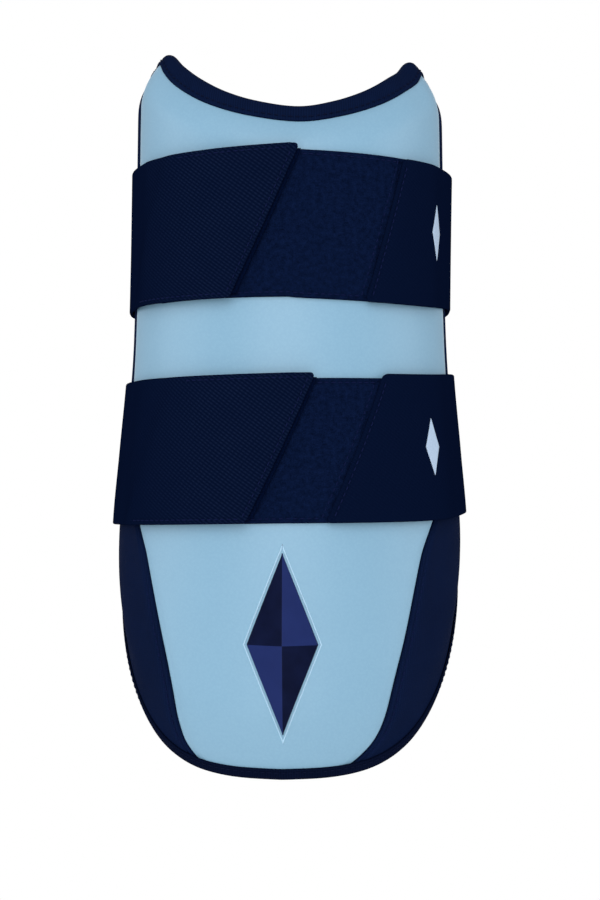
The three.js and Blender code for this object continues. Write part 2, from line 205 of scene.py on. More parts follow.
class GuardSizes(bpy.types.PropertyGroup):
    """Sizes of the guard's layers, tapes, straps and stitches"""

    strap_width: size_of("Strap width", "Width of the elastic webbing", 50.8)
    strap_thickness: size_of("Strap thickness", "Thickness of the elastic webbing", 1.5)
    hook_thickness: size_of("Hook patch thickness", "Thickness of the hook patches", 1.1)
    strap_lift: size_of("Free end lift", "How far the free end of a strap stands off", 0.8)
    loop_width: size_of("Loop pad width", "Width of the loop pads", 50.0)
    loop_thickness: size_of("Loop pad thickness", "Thickness of the loop pads", 1.7)
    cover_thickness: size_of("Cover thickness", "Thickness of front and side covers", 1.8)
    foam_thickness: size_of("Foam thickness", "Thickness of the foam behind the covers", 6)
    tape_thickness: size_of("Tape thickness", "Thickness of the binding tape", 0.85)
    stitch_pitch: size_of("Stitch pitch", "Distance from one stitch to the next", 2.4)
    thread_radius: size_of("Thread radius", "Half the thickness of the sewing thread", 0.27)
    badge_width: size_of("Badge width", "Width of the lozenge on the front", 22)
    badge_height: size_of("Badge height", "Height of the lozenge on the front", 62)


class GuardColours(bpy.types.PropertyGroup):
    """Colours of the guard's finishes, as sRGB hex values"""

    front_cover: hue_of("Front cover", "Light blue synthetic leather", "#779db5")
    side_cover: hue_of("Side covers", "Navy knit of the sides", "#09142f")
    lining: hue_of("Lining", "Navy brushed lining", "#0d1833")
    neck_tape: hue_of("Neck tape", "Navy woven tape of the neck", "#07122c")
    # Darker than the neck tape as painted shade of the downward-facing lower edge, given to the whole tape.
    edge_tape: hue_of("Edge tape", "Darker navy tape of the edges", "#050b1f")
    elastic: hue_of("Elastic", "Navy ground of the twill elastic", "#030a20")
    # The paler rib tone is partly the weave's own and partly a painted highlight, the glint of light on the
    # ribs.
    rib: hue_of("Ribs", "Paler ribs of the twill elastic", "#0e1830")
    # Its strip past each free end also stands in for the shadow beside that end.
    hook: hue_of("Hook patches", "Near-black moulded hooks", "#030a20")
    loop: hue_of("Loop pile", "Navy brushed loops", "#07112a")
    thread: hue_of("Thread", "Navy sewing thread", "#0c1434")
    tape_thread: hue_of("Tape thread", "Darker thread of the tapes", "#080f26")
    badge: hue_of("Badge", "Navy moulded badge", "#17214a")
    outline: hue_of("Outline", "Film round the badge", "#9ec0d7")
    film: hue_of("Film", "Pale blue film of the marks", "#9cb0c8")
    floor: hue_of("Floor", "Pale floor", "#f2f2f0")


class GuardStage(bpy.types.PropertyGroup):
    """Camera and light of the studio"""

    camera_distance: number_of("Camera distance", "From the arm's axis to the camera", 0.82, "LENGTH")
    focal_length: number_of("Focal length", "Focal length on a 36 mm sensor, in millimetres", 90.36)
    frame_shift: number_of("Frame shift", "Sideways shift of the frame, in long sides", 10 / 900)
    floor_drop: number_of("Floor drop", "From the origin down to the floor", -CAD_LOW.z + 0.67, "LENGTH")
    sky: number_of("Backdrop", "Strength of the white backdrop in view", 1.0)
    surround: number_of("Surround light", "Strength of the light all round", 0.62)
    key: number_of("Key light", "Power of the large front light", 18.0, "POWER")
    fill: number_of("Fill lights", "Power of each other light", 7.0, "POWER")


# Shape of the sleeve


def read(table, at):
    """Value of a table at a key, on a smooth curve through its rows."""
    keys, values = (np.array(column, float) for column in zip(*table))
    count = len(keys)
    before = np.maximum(np.arange(count) - 1, 0)
    after = np.minimum(np.arange(count) + 1, count - 1)
    slopes = (values[after] - values[before]) / (keys[after] - keys[before])
    i = np.clip(np.searchsorted(keys, at) - 1, 0, count - 2)
    span = keys[i + 1] - keys[i]
    t = np.clip((at - keys[i]) / span, 0, 1)
    start = values[i] * (1 + 2 * t) * (1 - t) ** 2 + slopes[i] * span * t * (1 - t) ** 2
    return start + values[i + 1] * t * t * (3 - 2 * t) - slopes[i + 1] * span * t * t * (1 - t)


def lerp(start, end, share):
    return start + (end - start) * share


def unit(vectors):
    return vectors / np.linalg.norm(vectors, axis=-1, keepdims=True)


def upper_rim(angle):
    """Height of the upper rim, with its rear corners rounded off."""
    from_edge = np.maximum((REAR_ANGLE - np.abs(angle)) * ARC, 0)
    over = np.maximum(1 - from_edge / REAR_CORNER["width"], 0)
    return read(UPPER_RIM, angle) - REAR_CORNER["height"] * (1 - np.sqrt(1 - over**2))


def lower_rim(angle):
    return read(LOWER_RIM, np.abs(angle - LOWER_RIM_TURN))


def seam_left(z):
    return -read(SEAM_LEFT, z)


def seam_right(z):
    return read(SEAM_RIGHT, z)


def curl_inset(curl, from_rim):
    """How far a rim's curl draws the surface in towards the arm."""
    return curl["inset"] * np.maximum(1 - from_rim / curl["height"], 0) ** 2


def surface(angle, z, curled):
    """Point of the outer surface, with its rims curled in or as a straight sleeve."""
    inset = 0
    if curled:
        inset = curl_inset(UPPER_CURL, read(UPPER_RIM, angle) - z)
        inset = inset + curl_inset(LOWER_CURL, z - lower_rim(angle))
    turn = np.radians(angle)
    depth = np.where(np.cos(turn) > 0, read(FRONT_DEPTH, z), read(BACK_DEPTH, z))
    x = (read(HALF_WIDTH, z) - inset) * np.sin(turn)
    return np.stack([x, -(depth - inset) * np.cos(turn), z + 0 * x], axis=-1)


def wall(angle, z, depth, curled=True):
    """Point at a depth under the outer surface, along its normal. A negative depth lies outside."""
    angle, z, depth = np.broadcast_arrays(np.asarray(angle, float), np.asarray(z, float), depth)
    step = 0.05
    up = surface(angle, z + step, curled) - surface(angle, z - step, curled)
    across = surface(angle + step, z, curled) - surface(angle - step, z, curled)
    return surface(angle, z, curled) + unit(np.cross(up, across)) * depth[..., None]


def foam_inside(angle, z, thickness):
    """Depth of the inner face of the foam."""
    from_edge = np.minimum(upper_rim(angle) - z, z - lower_rim(angle))
    from_edge = np.minimum(from_edge, (REAR_ANGLE - np.abs(angle)) * ARC)
    return FOAM_OUTSIDE + lerp(FOAM_EDGE, thickness, np.clip(from_edge / FOAM_TAPER, 0, 1))


def body_grid(columns, rows, angle_at):
    """Angles and heights of a grid between the rims. The rims depend on the angle and the seams on the
    height, so each point settles on both in a few rounds."""
    angle = np.zeros((len(rows), len(columns)))
    rounds = 14
    for _ in range(rounds):
        z = lerp(lower_rim(angle), upper_rim(angle), rows[:, None])
        angle = angle_at(columns[None, :], z)
    return angle, z


# Cloth


def along(points, axis):
    """Distance travelled over a grid of points along one of its axes."""
    steps = np.linalg.norm(np.diff(points, axis=axis), axis=-1)
    start = np.zeros_like(np.take(steps, [0], axis=axis))
    return np.concatenate([start, np.cumsum(steps, axis=axis)], axis=axis)


def from_sides(grid):
    """Distances of a grid's points from its left and right sides, and from its lower and upper ones."""
    across, up = along(grid, 1), along(grid, 0)
    return across, across[:, -1:] - across, up, up[-1:] - up


def at_distance(line, travelled, at):
    """Points of a line at distances travelled along it."""
    return np.stack([np.interp(at, travelled, column) for column in line.T], axis=-1)


def even_steps(path, step):
    """A path again, with even steps."""
    travelled = along(path, 0)
    at = np.linspace(0, travelled[-1], int(travelled[-1] / step) + 1)
    return at_distance(path, travelled, at)


def spacing(length, roll, hem, fine, step):
    """Distances across a cloth, closing up where its edges roll over and through the hems along them."""
    roll_lines = 6
    edge = roll * (1 - np.cos(np.linspace(0, np.pi / 2, roll_lines)))[:-1]
    border = np.concatenate([edge, np.arange(roll, hem, fine)])
    middle = np.linspace(hem, length - hem, max(round((length - 2 * hem) / step), 1) + 1)
    return np.concatenate([border, middle, length - border[::-1]])


def shares(length, **steps):
    """The same distances as shares of the length."""
    return spacing(length, **steps) / length


def rolled(distance, roll):
    """Share of its thickness that a cloth has at a distance in from its half-round edge."""
    return np.sqrt(1 - (1 - np.clip(distance / roll, 0, 1)) ** 2)


def groove(distance, depth, width):
    """Depth at a distance from the middle of a channel that stitches draw into cloth."""
    return depth * np.exp(-((distance / width) ** 2))


def quads(index):
    """Corner numbers of the faces of a grid of vertex numbers."""
    corners = (index[:-1, :-1], index[:-1, 1:], index[1:, 1:], index[1:, :-1])
    return np.stack(corners, axis=-1).reshape(-1, 4)


def closed_cloth(front, back, flat=None):
    """Closed mesh between a front and a back grid that meet at their border. Its map "cut" lays it out flat
    in metres, from the grid itself or from the places in flat, and "OFBake" fits both faces in a unit square."""
    count = front.shape[0] * front.shape[1]
    grid = np.arange(count).reshape(front.shape[:2])
    back_grid = grid.copy()
    inside = back_grid[1:-1, 1:-1]
    inside[:] = count + np.arange(inside.size).reshape(inside.shape)
    places = np.concatenate([front.reshape(-1, 3), back[1:-1, 1:-1].reshape(-1, 3)]) * MM
    faces = np.concatenate([quads(grid), quads(back_grid)[:, ::-1]])
    mesh = bpy.data.meshes.new("cloth")
    mesh.from_pydata(places.tolist(), [], faces.tolist())
    if flat is None:
        across = along(front, 1)
        flat = np.stack([across - across[:, -1:] / 2, along(front, 0)], axis=-1)
    flat = flat.reshape(-1, 2) * MM
    corners = np.concatenate([quads(grid), quads(grid)[:, ::-1]])
    share = (flat - flat.min(0)) / np.ptp(flat, axis=0)
    halves = np.repeat([0, 1], len(corners) // 2)[:, None, None]
    margin = 0.01
    spread = share[corners] * (1 - 2 * margin, 0.5 - 2 * margin) + margin + halves * (0, 0.5)
    for layer, values in (("cut", flat[corners]), ("OFBake", spread)):
        mesh.uv_layers.new(name=layer).uv.foreach_set("vector", values.astype(np.float32).ravel())
    solid = bmesh.new()
    solid.from_mesh(mesh)
    bmesh.ops.recalc_face_normals(solid, faces=solid.faces)
    solid.to_mesh(mesh)
    solid.free()
    return mesh


def place(name, mesh, finish, nodes=()):
    """Object of a piece, with its finish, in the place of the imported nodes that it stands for."""
    mesh.name = name
    mesh.materials.append(finish)
    mesh.shade_smooth()
    piece = bpy.data.objects.new(name, mesh)
    bpy.context.scene.collection.objects.link(piece)
    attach(piece, "root")
    if nodes:
        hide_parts(*nodes)
    return piece


def swell(piece, sewn, limit):
    """Fills a padded piece: its free cloth swells from pressure inside it by up to a limit, while its sewn
    points stay."""
    pressure, frames, limit = 4.0, 20, limit * MM
    group = piece.vertex_groups.new(name="sewn")
    group.add(np.flatnonzero(sewn).tolist(), 1.0, "REPLACE")
    cloth = piece.modifiers.new("fill", "CLOTH")
    cloth.settings.vertex_group_mass = group.name
    cloth.settings.use_pressure = True
    cloth.settings.uniform_pressure_force = pressure
    cloth.settings.effector_weights.gravity = 0
    scene = bpy.context.scene
    for step in range(1, frames + 1):
        scene.frame_set(step)
    filled = piece.evaluated_get(bpy.context.evaluated_depsgraph_get()).data
    start = np.zeros(len(sewn) * 3, np.float32)
    end = start.copy()
    piece.data.vertices.foreach_get("co", start)
    filled.vertices.foreach_get("co", end)
    piece.modifiers.remove(cloth)
    piece.vertex_groups.remove(group)
    move = (end - start).reshape(-1, 3)
    reach = np.maximum(np.linalg.norm(move, axis=1, keepdims=True), 1e-9)
    if not np.isfinite(reach).all():
        raise RuntimeError(f"{piece.name}: the filling did not settle")
    start += (move * np.tanh(reach / limit) * limit / reach).ravel()
    piece.data.vertices.foreach_set("co", start)
    piece.data.update()
    scene.frame_set(1)


def sew(name, rows, sizes, thread):
    """Piece of the rows of lockstitches on another piece. A row is a path on the cloth with the direction out
    of the cloth along it. Each stitch is a short bowed length of thread that dips in at both ends."""
    pitch, radius = sizes.stitch_pitch, sizes.thread_radius
    span = np.array([-1, -0.75, -0.3, 0.3, 0.75, 1])
    girth = np.array([0.3, 0.85, 1, 1, 0.85, 0.3]) * radius
    rise = radius * (0.45 - 1.1 * span**4)
    half_length, nearby, sides = 0.36 * pitch, 0.3, 6
    turn = np.arange(sides) * 2 * np.pi / sides
    stitches = []
    for path, out in rows:
        travelled = along(path, 0)
        at = np.arange(pitch / 2, travelled[-1], pitch)
        run = unit(at_distance(path, travelled, at + nearby) - at_distance(path, travelled, at - nearby))
        up = at_distance(out, travelled, at)
        up = unit(up - run * (up * run).sum(1, keepdims=True))
        run, up, side = run[:, None], up[:, None], np.cross(run, up)[:, None]
        middle = at_distance(path, travelled, at)[:, None]
        middle = middle + span[:, None] * run * half_length + rise[:, None] * up
        around = np.cos(turn)[:, None] * side + np.sin(turn)[:, None] * up
        stitches.append(middle[:, :, None] + girth[:, None, None] * around[:, None])
    stitches = np.concatenate(stitches)
    grid = np.arange(len(span) * sides).reshape(len(span), sides)
    tube = quads(np.hstack([grid, grid[:, :1]])).tolist()
    caps = [grid[0, ::-1].tolist(), grid[-1].tolist()]
    faces = []
    for first in range(0, len(stitches) * grid.size, grid.size):
        faces += [[first + corner for corner in face] for face in tube + caps]
    mesh = bpy.data.meshes.new("stitches")
    mesh.from_pydata((stitches.reshape(-1, 3) * MM).tolist(), [], faces)
    return place(f"{name}_stitches", mesh, thread)


# Finishes

MIX_A, MIX_B, MIX_OUT = 6, 7, 2  # the colour sockets of a Mix node
WAVE_OUT = 1  # the height socket of a Wave texture


def linear(code, gain=1.0):
    """Linear colour of an sRGB hex value, made lighter or darker by a gain."""
    channels = [int(code[i : i + 2], 16) / 255 for i in (1, 3, 5)]
    channels = [c / 12.92 if c <= 0.04045 else ((c + 0.055) / 1.055) ** 2.4 for c in channels]
    return (*(min(c * gain, 1) for c in channels), 1.0)


def cells(size):
    """Scale of a texture whose cells have a size in millimetres."""
    return 1 / (size * MM)


def waves(size):
    """Scale of a Wave texture with a period in millimetres. At scale 1 its period is 2 pi / 20."""
    return 2 * math.pi / 20 / (size * MM)


def feed(tree, node, inputs):
    """Sets or links inputs of a node. A node as the value is linked from its first output."""
    for socket, value in inputs.items():
        if isinstance(value, bpy.types.Node):
            value = value.outputs[0]
        if isinstance(value, bpy.types.NodeSocket):
            tree.links.new(value, node.inputs[socket])
        else:
            node.inputs[socket].default_value = value


def add(tree, kind, inputs=None, **settings):
    """Adds a shader node with its settings, and feeds its inputs."""
    made = tree.nodes.new("ShaderNode" + kind)
    for name, value in settings.items():
        setattr(made, name, value)
    feed(tree, made, inputs or {})
    return made


def dress(tree, shader, tones, share, height, relief, roughness, shine):
    """Gives a shader a colour between two tones by a share, relief of a strength and a depth in millimetres
    by a height, its roughness and its shine."""
    tone = add(tree, "Mix", {0: share, MIX_A: tones[0], MIX_B: tones[1]}, data_type="RGBA")
    bump = add(tree, "Bump", {"Height": height, "Strength": relief[0], "Distance": relief[1] * MM})
    feed(tree, shader, {"Base Color": tone.outputs[MIX_OUT], "Normal": bump})
    feed(tree, shader, {"Roughness": roughness, "Specular IOR Level": shine})


def moulded_synthetic_leather(tree, shader, code):
    """Polyurethane synthetic leather over foam, embossed with a fine grain and hot-moulded: an even satin
    colour with soft highlights, faint clouding and a skin-like grain that shows only close up."""
    spot = add(tree, "TexCoord").outputs["Object"]
    # Clouding over about 45 mm, grain cells of 0.9 mm and creases of 0.4 mm.
    cloud = add(tree, "TexNoise", {"Vector": spot, "Scale": cells(45), "Detail": 3})
    grain = add(tree, "TexVoronoi", {"Vector": spot, "Scale": cells(0.9)})
    fine = add(tree, "TexNoise", {"Vector": spot, "Scale": cells(0.4), "Detail": 2})
    pale = add(
        tree, "Mix", {0: cloud, MIX_A: linear(code, 0.97), MIX_B: linear(code, 1.03)}, data_type="RGBA"
    ).outputs[MIX_OUT]
    pores = add(
        tree, "MapRange", {"Value": grain, "From Min": 0.1, "From Max": 0.7, "To Min": 1.0, "To Max": 0.0}
    )
    speck = add(
        tree, "Mix", {0: pores, MIX_A: linear("#f8fafc"), MIX_B: linear("#ffffff")}, data_type="RGBA"
    ).outputs[MIX_OUT]
    both = add(
        tree, "Mix", {0: 1.0, MIX_A: pale, MIX_B: speck}, data_type="RGBA", blend_type="MULTIPLY"
    ).outputs[MIX_OUT]
    gloss = add(tree, "MapRange", {"Value": cloud, "To Min": 0.38, "To Max": 0.46})
    height = add(tree, "Math", {0: pores, 1: fine}, operation="ADD")
    bump = add(tree, "Bump", {"Height": height, "Strength": 0.12, "Distance": 0.06 * MM})
    feed(tree, shader, {"Base Color": both, "Roughness": gloss, "Normal": bump, "Specular IOR Level": 0.38})


def knitted_polyester(tree, shader, code):
    """Warp-knitted polyester bonded to foam: a matt, nearly even navy with fine columns of loops."""
    flat = add(tree, "UVMap", uv_map="cut")
    spot = add(tree, "TexCoord").outputs["Object"]
    # Loops 0.6 mm wide in the cloth, drawn 1.1 mm wide so that they show, and clouding over 20 mm.
    knit = {"Vector": flat, "Distortion": 0.6, "Detail": 1}
    columns = add(tree, "TexWave", {**knit, "Scale": waves(1.1)}, bands_direction="X").outputs[WAVE_OUT]
    courses = add(tree, "TexWave", {**knit, "Scale": waves(0.9)}, bands_direction="Y").outputs[WAVE_OUT]
    loops = add(tree, "Math", {0: columns, 1: courses}, operation="MULTIPLY")
    cloud = add(tree, "TexNoise", {"Vector": spot, "Scale": cells(20), "Detail": 3})
    both = add(tree, "Math", {0: loops, 1: cloud}, operation="ADD")
    share = add(tree, "MapRange", {"Value": both, "From Min": 0.2, "From Max": 1.5})
    tones = linear(code, 0.78), linear(code, 1.25)
    dress(tree, shader, tones, share, loops, (0.35, 0.15), roughness=0.85, shine=0.012)


def brushed_tricot(tree, shader, code):
    """Brushed nylon tricot: a soft, slightly hazy lining with a short nap that catches light at grazing
    angles."""
    spot = add(tree, "TexCoord").outputs["Object"]
    # Nap in tufts of 1.4 mm, brushed patches of 18 mm.
    nap = add(tree, "TexNoise", {"Vector": spot, "Scale": cells(1.4), "Detail": 4})
    patch = add(tree, "TexNoise", {"Vector": spot, "Scale": cells(18), "Detail": 2})
    both = add(tree, "Math", {0: nap, 1: patch}, operation="ADD")
    share = add(tree, "MapRange", {"Value": both, "From Min": 0.6, "From Max": 1.4})
    tones = linear(code, 0.7), linear(code, 1.35)
    dress(tree, shader, tones, share, nap, (0.4, 0.2), roughness=0.95, shine=0.012)
    feed(tree, shader, {"Sheen Weight": 0.04, "Sheen Roughness": 0.5})


def grosgrain_tape(tree, shader, code):
    """Woven polyester binding tape, folded and sewn: matt, with fine ribs across its length."""
    flat = add(tree, "UVMap", uv_map="cut")
    # Ribs 0.5 mm apart in the tape, drawn 0.9 mm apart so that they show, and wear over 6 mm.
    weave = {"Vector": flat, "Scale": waves(0.9), "Distortion": 0.8, "Detail": 2}
    ribs = add(tree, "TexWave", weave, bands_direction="X").outputs[WAVE_OUT]
    wear = add(tree, "TexNoise", {"Vector": flat, "Scale": cells(6), "Detail": 3})
    both = add(tree, "Math", {0: ribs, 1: wear}, operation="ADD")
    share = add(tree, "MapRange", {"Value": both, "From Min": 0.2, "From Max": 1.6})
    tones = linear(code, 0.72), linear(code, 1.3)
    dress(tree, shader, tones, share, ribs, (0.4, 0.15), roughness=0.8, shine=0.012)


def twill_elastic(tree, shader, code, rib_code):
    """Twill-woven elastic of nylon over rubber: matt, dark, with slanting ribs that read as fine diagonal
    lines, their paler tone partly their own and partly a painted highlight."""
    flat = add(tree, "UVMap", uv_map="cut")
    # Ribs fall to the right at 36 degrees, 1.06 mm apart, and the floats along them are 1.6 mm long. The
    # weave is uneven over 12 mm.
    turned = add(tree, "VectorRotate", {"Vector": flat, "Angle": math.radians(36)})
    lines = {"Vector": turned, "Scale": waves(1.06), "Distortion": 0.35, "Detail": 1}
    ribs = add(tree, "TexWave", lines, bands_direction="Y").outputs[WAVE_OUT]
    lines = {"Vector": turned, "Scale": waves(1.6), "Distortion": 1.5, "Detail": 1}
    floats = add(tree, "TexWave", lines, bands_direction="X").outputs[WAVE_OUT]
    cloud = add(tree, "TexNoise", {"Vector": flat, "Scale": cells(12), "Detail": 3})
    cross = add(tree, "MapRange", {"Value": floats, "To Min": 0.45, "To Max": 1.0})
    weave = add(tree, "Math", {0: ribs, 1: cross}, operation="MULTIPLY")
    uneven = add(tree, "MapRange", {"Value": cloud, "To Min": 0.7, "To Max": 1.3})
    ribbed = add(tree, "Math", {0: weave, 1: uneven}, operation="MULTIPLY")
    # The relief and the paler tone of the ribs are full over the last 40 mm to the free end and fall to about
    # a seventh round the arm, the relief as the ribs are pulled flat and the tone as painted shade there.
    parts = add(tree, "SeparateXYZ", {"Vector": flat})
    rib_fade = {"From Min": -64 * MM, "From Max": -36 * MM, "To Min": 0.14, "To Max": 1.0}
    relief_and_highlight = add(tree, "MapRange", {"Value": parts, **rib_fade})
    ground = 0.15
    above = add(tree, "Math", {0: ribbed, 1: ground}, operation="SUBTRACT")
    share = add(tree, "Math", {0: above, 1: relief_and_highlight, 2: ground}, operation="MULTIPLY_ADD")
    # The paler tone is partly a painted highlight on the ribs.
    tones = linear(code), linear(rib_code)
    dress(tree, shader, tones, share, weave, (relief_and_highlight, 0.2), roughness=0.8, shine=0.0)


def brushed_loop_pile(tree, shader, code):
    """Knitted nylon loop tape with a brushed pile: deep matt navy, mottled by loops that lie every way."""
    flat = add(tree, "UVMap", uv_map="cut")
    # Loops of 0.8 mm in clumps of 1.8 mm, with strands of 0.5 mm.
    loops = add(tree, "TexVoronoi", {"Vector": flat, "Scale": cells(0.8)})
    clumps = add(tree, "TexNoise", {"Vector": flat, "Scale": cells(1.8), "Detail": 4})
    strands = add(tree, "TexNoise", {"Vector": flat, "Scale": cells(0.5), "Detail": 3})
    both = add(tree, "Math", {0: clumps, 1: strands}, operation="ADD")
    share = add(tree, "MapRange", {"Value": both, "From Min": 0.7, "From Max": 1.3})
    height = add(tree, "Math", {0: strands, 1: loops}, operation="SUBTRACT")
    tones = linear(code, 0.6), linear(code, 1.45)
    dress(tree, shader, tones, share, height, (0.6, 0.3), roughness=0.95, shine=0.0)
    feed(tree, shader, {"Sheen Weight": 0.03, "Sheen Tint": linear(code, 4.0), "Sheen Roughness": 0.5})


def moulded_nylon_hooks(tree, shader, code):
    """Moulded nylon hook tape: near black, with rows of tiny hooks that read as a dull, fine stipple."""
    flat = add(tree, "UVMap", uv_map="cut")
    # Hooks 0.9 mm apart.
    hooks = add(tree, "TexVoronoi", {"Vector": flat, "Scale": cells(0.9), "Randomness": 0.3})
    tones = linear(code, 1.3), linear(code, 0.6)
    dress(tree, shader, tones, hooks, hooks, (0.6, 0.4), roughness=0.6, shine=0.0)


def spun_polyester_thread(tree, shader, code):
    """Spun polyester sewing thread: matt with a slight twist, a little paler than the cloth under it."""
    spot = add(tree, "TexCoord").outputs["Object"]
    # Twist of 0.4 mm.
    twist = add(tree, "TexNoise", {"Vector": spot, "Scale": cells(0.4), "Detail": 2})
    tones = linear(code, 0.7), linear(code, 1.3)
    dress(tree, shader, tones, twist, twist, (0.3, 0.1), roughness=0.7, shine=0.02)


def moulded_urethane(tree, shader, code):
    """Injection-moulded urethane badge: smooth and semi-gloss, so each facet takes its own tone from the
    light, and besides two facets are painted lighter and two darker, as painted light and shade."""
    spot = add(tree, "TexCoord").outputs["Object"]
    # Flow marks over 7 mm and a mould texture of 0.5 mm.
    flow = add(tree, "TexNoise", {"Vector": spot, "Scale": cells(7), "Detail": 3})
    mould = add(tree, "TexNoise", {"Vector": spot, "Scale": cells(0.5), "Detail": 1})
    # The facets to the upper right and lower left are painted lighter and the other two darker, one of each
    # to either side of each ridge: painted light and shade of the facets.
    parts = add(tree, "SeparateXYZ", {"Vector": add(tree, "UVMap", uv_map="cut")})
    corner = add(tree, "Math", {0: parts.outputs[0], 1: parts.outputs[1]}, operation="MULTIPLY")
    painted_lit_facets = add(tree, "Math", {0: corner, 1: 0.0}, operation="GREATER_THAN")
    clouded = add(tree, "MapRange", {"Value": flow, "To Min": 0.0, "To Max": 0.3})
    share = add(tree, "Math", {0: painted_lit_facets, 1: 0.8, 2: clouded}, operation="MULTIPLY_ADD")
    gloss = add(tree, "MapRange", {"Value": flow, "To Min": 0.26, "To Max": 0.38})
    # The dark tone is painted shade on two facets, the light tone painted light on the other two.
    tones = linear(code, 0.12), linear(code, 1.35)
    dress(tree, shader, tones, share, mould, (0.08, 0.05), roughness=gloss, shine=0.03)


def transfer_film(tree, shader, code):
    """Heat-pressed urethane film: a thin, smooth, pale layer that takes a little of the weave under it."""
    flat = add(tree, "UVMap", uv_map="cut")
    # The weave under the film is 1.1 mm.
    weave = add(tree, "TexNoise", {"Vector": flat, "Scale": cells(1.1), "Detail": 2})
    tones = linear(code, 0.93), linear(code, 1.05)
    dress(tree, shader, tones, weave, weave, (0.2, 0.1), roughness=0.45, shine=0.3)


def painted_floor(tree, shader, code):
    """Matt painted floor: pale and even, with faint roller marks."""
    spot = add(tree, "TexCoord").outputs["Object"]
    # Roller marks of 250 mm.
    marks = add(tree, "TexNoise", {"Vector": spot, "Scale": cells(250), "Detail": 2})
    tone = add(
        tree, "Mix", {0: marks, MIX_A: linear(code, 0.99), MIX_B: linear(code, 1.01)}, data_type="RGBA"
    ).outputs[MIX_OUT]
    feed(tree, shader, {"Base Color": tone, "Roughness": 0.9, "Specular IOR Level": 0.1})


def finish_of(build, *codes, variant=""):
    """The finish that an earlier piece made, or a new one."""
    name = build.__name__ + variant
    if name not in bpy.data.materials:
        finish = bpy.data.materials.new(name)
        finish.use_nodes = True
        build(finish.node_tree, finish.node_tree.nodes["Principled BSDF"], *codes)
    return bpy.data.materials[name]


# Pieces


def settings(context):
    """Sizes in millimetres, and colours."""
    group = context.scene.guard_sizes
    sizes = {name: getattr(group, name) / MM for name in group.__annotations__}
    return SimpleNamespace(**sizes), context.scene.guard_colours


class GUARD_OT_foam_body(bpy.types.Operator):
    """Foam body with its lining, swollen between the seams that hold it"""

    bl_idname = "guard.foam_body"
    bl_label = "Foam body"

    def execute(self, context):
        sizes, colours = settings(context)
        roll = FOAM_EDGE / 2
        columns = shares(length=215, roll=roll, hem=4, fine=1.4, step=4)
        rows = shares(length=240, roll=roll, hem=4, fine=1.4, step=4)
        angle, z = body_grid(columns, rows, lambda share, z: lerp(-REAR_ANGLE, REAR_ANGLE, share))
        middle = FOAM_OUTSIDE + roll
        from_edge = np.minimum.reduce(from_sides(wall(angle, z, middle)))
        full = rolled(from_edge, roll)
        front = wall(angle, z, lerp(middle, FOAM_OUTSIDE, full))
        # The lining starts closer to the covers and swells to its place.
        start, ramp, least, swelling = 1.6, 9, 0.4, 2.6
        deep = foam_inside(angle, z, sizes.foam_thickness) - start * np.clip(from_edge / ramp, 0, 1)
        back = wall(angle, z, lerp(middle, np.maximum(deep, middle + least), full))
        finish = finish_of(brushed_tricot, colours.lining)
        piece = place("foam_body", closed_cloth(front, back), finish, ["padded_body"])
        edge_hold, seam_hold = 4, 2.2
        by_seam = np.minimum(np.abs(angle - seam_left(z)), np.abs(angle - seam_right(z))) * ARC
        held = (from_edge < edge_hold) | (by_seam < seam_hold)
        swell(piece, np.concatenate([np.ones(held.size, bool), held[1:-1, 1:-1].ravel()]), swelling)
        piece.modifiers.new("round", "SUBSURF").render_levels = 1
        return {"FINISHED"}


class GUARD_OT_front_cover(bpy.types.Operator):
    """Light blue front cover, rolled in at its seams"""

    bl_idname = "guard.front_cover"
    bl_label = "Front cover"

    def execute(self, context):
        sizes, colours = settings(context)
        thickness = sizes.cover_thickness
        columns = shares(length=140, roll=1.2, hem=5, fine=0.7, step=1.5)
        rows = shares(length=240, roll=1, hem=8, fine=1.2, step=1.9)
        angle, z = body_grid(columns, rows, lambda share, z: lerp(seam_left(z), seam_right(z), share))
        back = wall(angle, z, thickness)
        left, right, low, top = from_sides(back)
        from_seam = np.minimum(left, right)
        from_edge = np.minimum(from_seam, np.minimum(low, top))
        roll, fold = 1.7, 1.2
        dip = groove(np.maximum(from_seam - fold, 0), depth=0.35, width=2.6)
        front = wall(angle, z, lerp(thickness, np.minimum(dip, thickness), rolled(from_edge, roll)))
        finish = finish_of(moulded_synthetic_leather, colours.front_cover)
        piece = place("front_cover", closed_cloth(front, back), finish, ["front_panel"])
        return {"FINISHED"}


